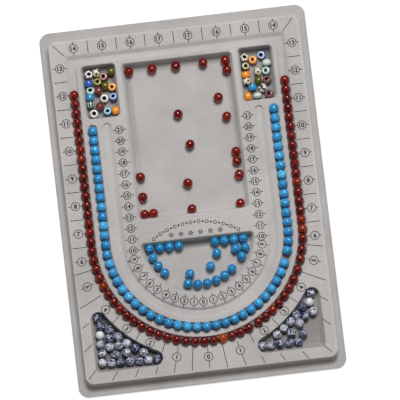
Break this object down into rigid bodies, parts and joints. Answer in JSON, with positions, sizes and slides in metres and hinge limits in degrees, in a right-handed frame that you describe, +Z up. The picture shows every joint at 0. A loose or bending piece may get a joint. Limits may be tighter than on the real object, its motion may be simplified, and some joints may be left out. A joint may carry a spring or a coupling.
{
  "type": "bead board",
  "caption": "Flat flocked tray with a raised border, nested U-shaped bead channels, a scale and shaped compartments, holding loose beads for laying out necklaces.",
  "frame": {"origin": "on the table under the middle of the board", "axes": "+X across the board to the right, +Y up the board's length to its square end, +Z up"},
  "size_m": [0.24, 0.331, 0.0166],
  "materials": {
    "flock": "flocked",
    "red_stone": "polished",
    "turquoise": "polished",
    "mottled_stone": "polished",
    "pony_white": "gloss",
    "pony_cream": "gloss",
    "pony_rose": "gloss",
    "pony_olive": "gloss",
    "pony_blue": "gloss",
    "pony_orange": "gloss",
    "pony_teal": "gloss",
    "pony_brown": "gloss",
    "pony_pale": "gloss",
    "pony_sky": "gloss",
    "pony_black": "gloss"
  },
  "bodies": {
    "board": {"board": "flock"},
    "outer_row": {"outer_row_left_run": "red_stone", "outer_row_foot_run": "red_stone", "outer_row_right_run": "red_stone"},
    "middle_row": {"middle_row_left_run": "turquoise", "middle_row_right_run": "turquoise"},
    "tray_beads": {"red_bead_01": "red_stone", "red_bead_02": "red_stone", "red_bead_03": "red_stone", "red_bead_04": "red_stone", "red_bead_05": "red_stone", "red_bead_06": "red_stone", "red_bead_07": "red_stone", "red_bead_08": "red_stone", "red_bead_09": "red_stone", "red_bead_10": "red_stone", "red_bead_11": "red_stone", "red_bead_12": "red_stone", "red_bead_13": "red_stone", "red_bead_14": "red_stone", "red_bead_15": "red_stone", "red_bead_16": "red_stone", "red_bead_17": "red_stone"},
    "dish_beads": {"dish_beads_top_row": "turquoise", "dish_beads_left_chain": "turquoise", "dish_beads_foot_chain": "turquoise", "dish_beads_right_heap": "turquoise", "dish_bead_01": "turquoise", "dish_bead_02": "turquoise"},
    "left_pocket_beads": {"pony_bead_left_01": "pony_white", "pony_bead_left_02": "pony_cream", "pony_bead_left_03": "pony_rose", "pony_bead_left_04": "pony_olive", "pony_bead_left_05": "pony_blue", "pony_bead_left_06": "pony_olive", "pony_bead_left_07": "pony_olive", "pony_bead_left_08": "pony_orange", "pony_bead_left_09": "pony_teal", "pony_bead_left_10": "pony_white", "pony_bead_left_11": "pony_blue", "pony_bead_left_12": "pony_brown", "pony_bead_left_13": "pony_white", "pony_bead_left_14": "pony_teal", "pony_bead_left_15": "pony_orange"},
    "right_pocket_beads": {"pony_bead_right_01": "pony_cream", "pony_bead_right_02": "pony_orange", "pony_bead_right_03": "pony_blue", "pony_bead_right_04": "pony_pale", "pony_bead_right_05": "pony_olive", "pony_bead_right_06": "pony_pale", "pony_bead_right_07": "pony_orange", "pony_bead_right_08": "pony_cream", "pony_bead_right_09": "pony_rose", "pony_bead_right_10": "pony_sky", "pony_bead_right_11": "pony_black", "pony_bead_right_12": "pony_orange", "pony_bead_right_13": "pony_pale", "pony_bead_right_14": "pony_rose"},
    "left_corner_beads": {"corner_beads_left": "mottled_stone"},
    "right_corner_beads": {"corner_beads_right": "mottled_stone"}
  },
  "joints": [
    {"name": "outer_row_lift", "type": "slide", "parent": "board", "child": "outer_row", "axis": [0, 0, 1], "range_m": [0, 0.03]},
    {"name": "middle_row_lift", "type": "slide", "parent": "board", "child": "middle_row", "axis": [0, 0, 1], "range_m": [0, 0.03]},
    {"name": "tray_beads_lift", "type": "slide", "parent": "board", "child": "tray_beads", "axis": [0, 0, 1], "range_m": [0, 0.03]},
    {"name": "dish_beads_lift", "type": "slide", "parent": "board", "child": "dish_beads", "axis": [0, 0, 1], "range_m": [0, 0.03]},
    {"name": "left_pocket_lift", "type": "slide", "parent": "board", "child": "left_pocket_beads", "axis": [0, 0, 1], "range_m": [0, 0.03]},
    {"name": "right_pocket_lift", "type": "slide", "parent": "board", "child": "right_pocket_beads", "axis": [0, 0, 1], "range_m": [0, 0.03]},
    {"name": "left_corner_lift", "type": "slide", "parent": "board", "child": "left_corner_beads", "axis": [0, 0, 1], "range_m": [0, 0.03]},
    {"name": "right_corner_lift", "type": "slide", "parent": "board", "child": "right_corner_beads", "axis": [0, 0, 1], "range_m": [0, 0.03]}
  ]
}
